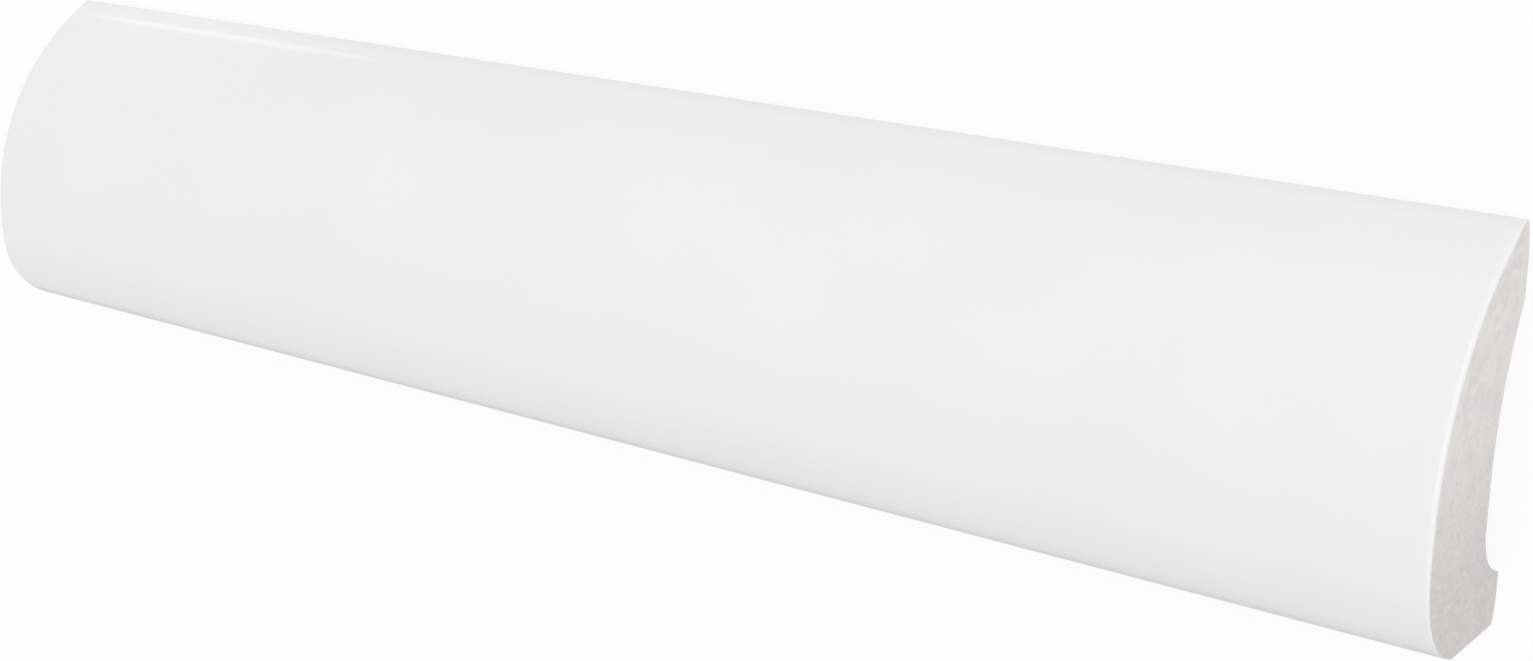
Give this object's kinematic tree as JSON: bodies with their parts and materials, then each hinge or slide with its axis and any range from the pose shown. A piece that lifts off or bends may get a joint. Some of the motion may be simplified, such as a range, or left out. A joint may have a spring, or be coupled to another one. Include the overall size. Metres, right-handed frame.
{
  "type": "bullnose tile",
  "caption": "Bullnose trim tile: a bowed white glazed face that rolls under to a flat base, with a hollow unglazed back, to finish the edge of a tiled wall.",
  "frame": {"origin": "middle of the bounding box, in the wall plane that the tile lies on", "axes": "+X along the trim, +Y from the base to the ridge, +Z out of the wall through the glazed face"},
  "size_m": [0.15, 0.03, 0.014],
  "materials": {
    "glazed_clay": "white gloss glaze over a pale fired clay body, bare at the ends, back and base"
  },
  "bodies": {
    "root": {"bullnose_tile": "glazed_clay"}
  },
  "joints": []
}
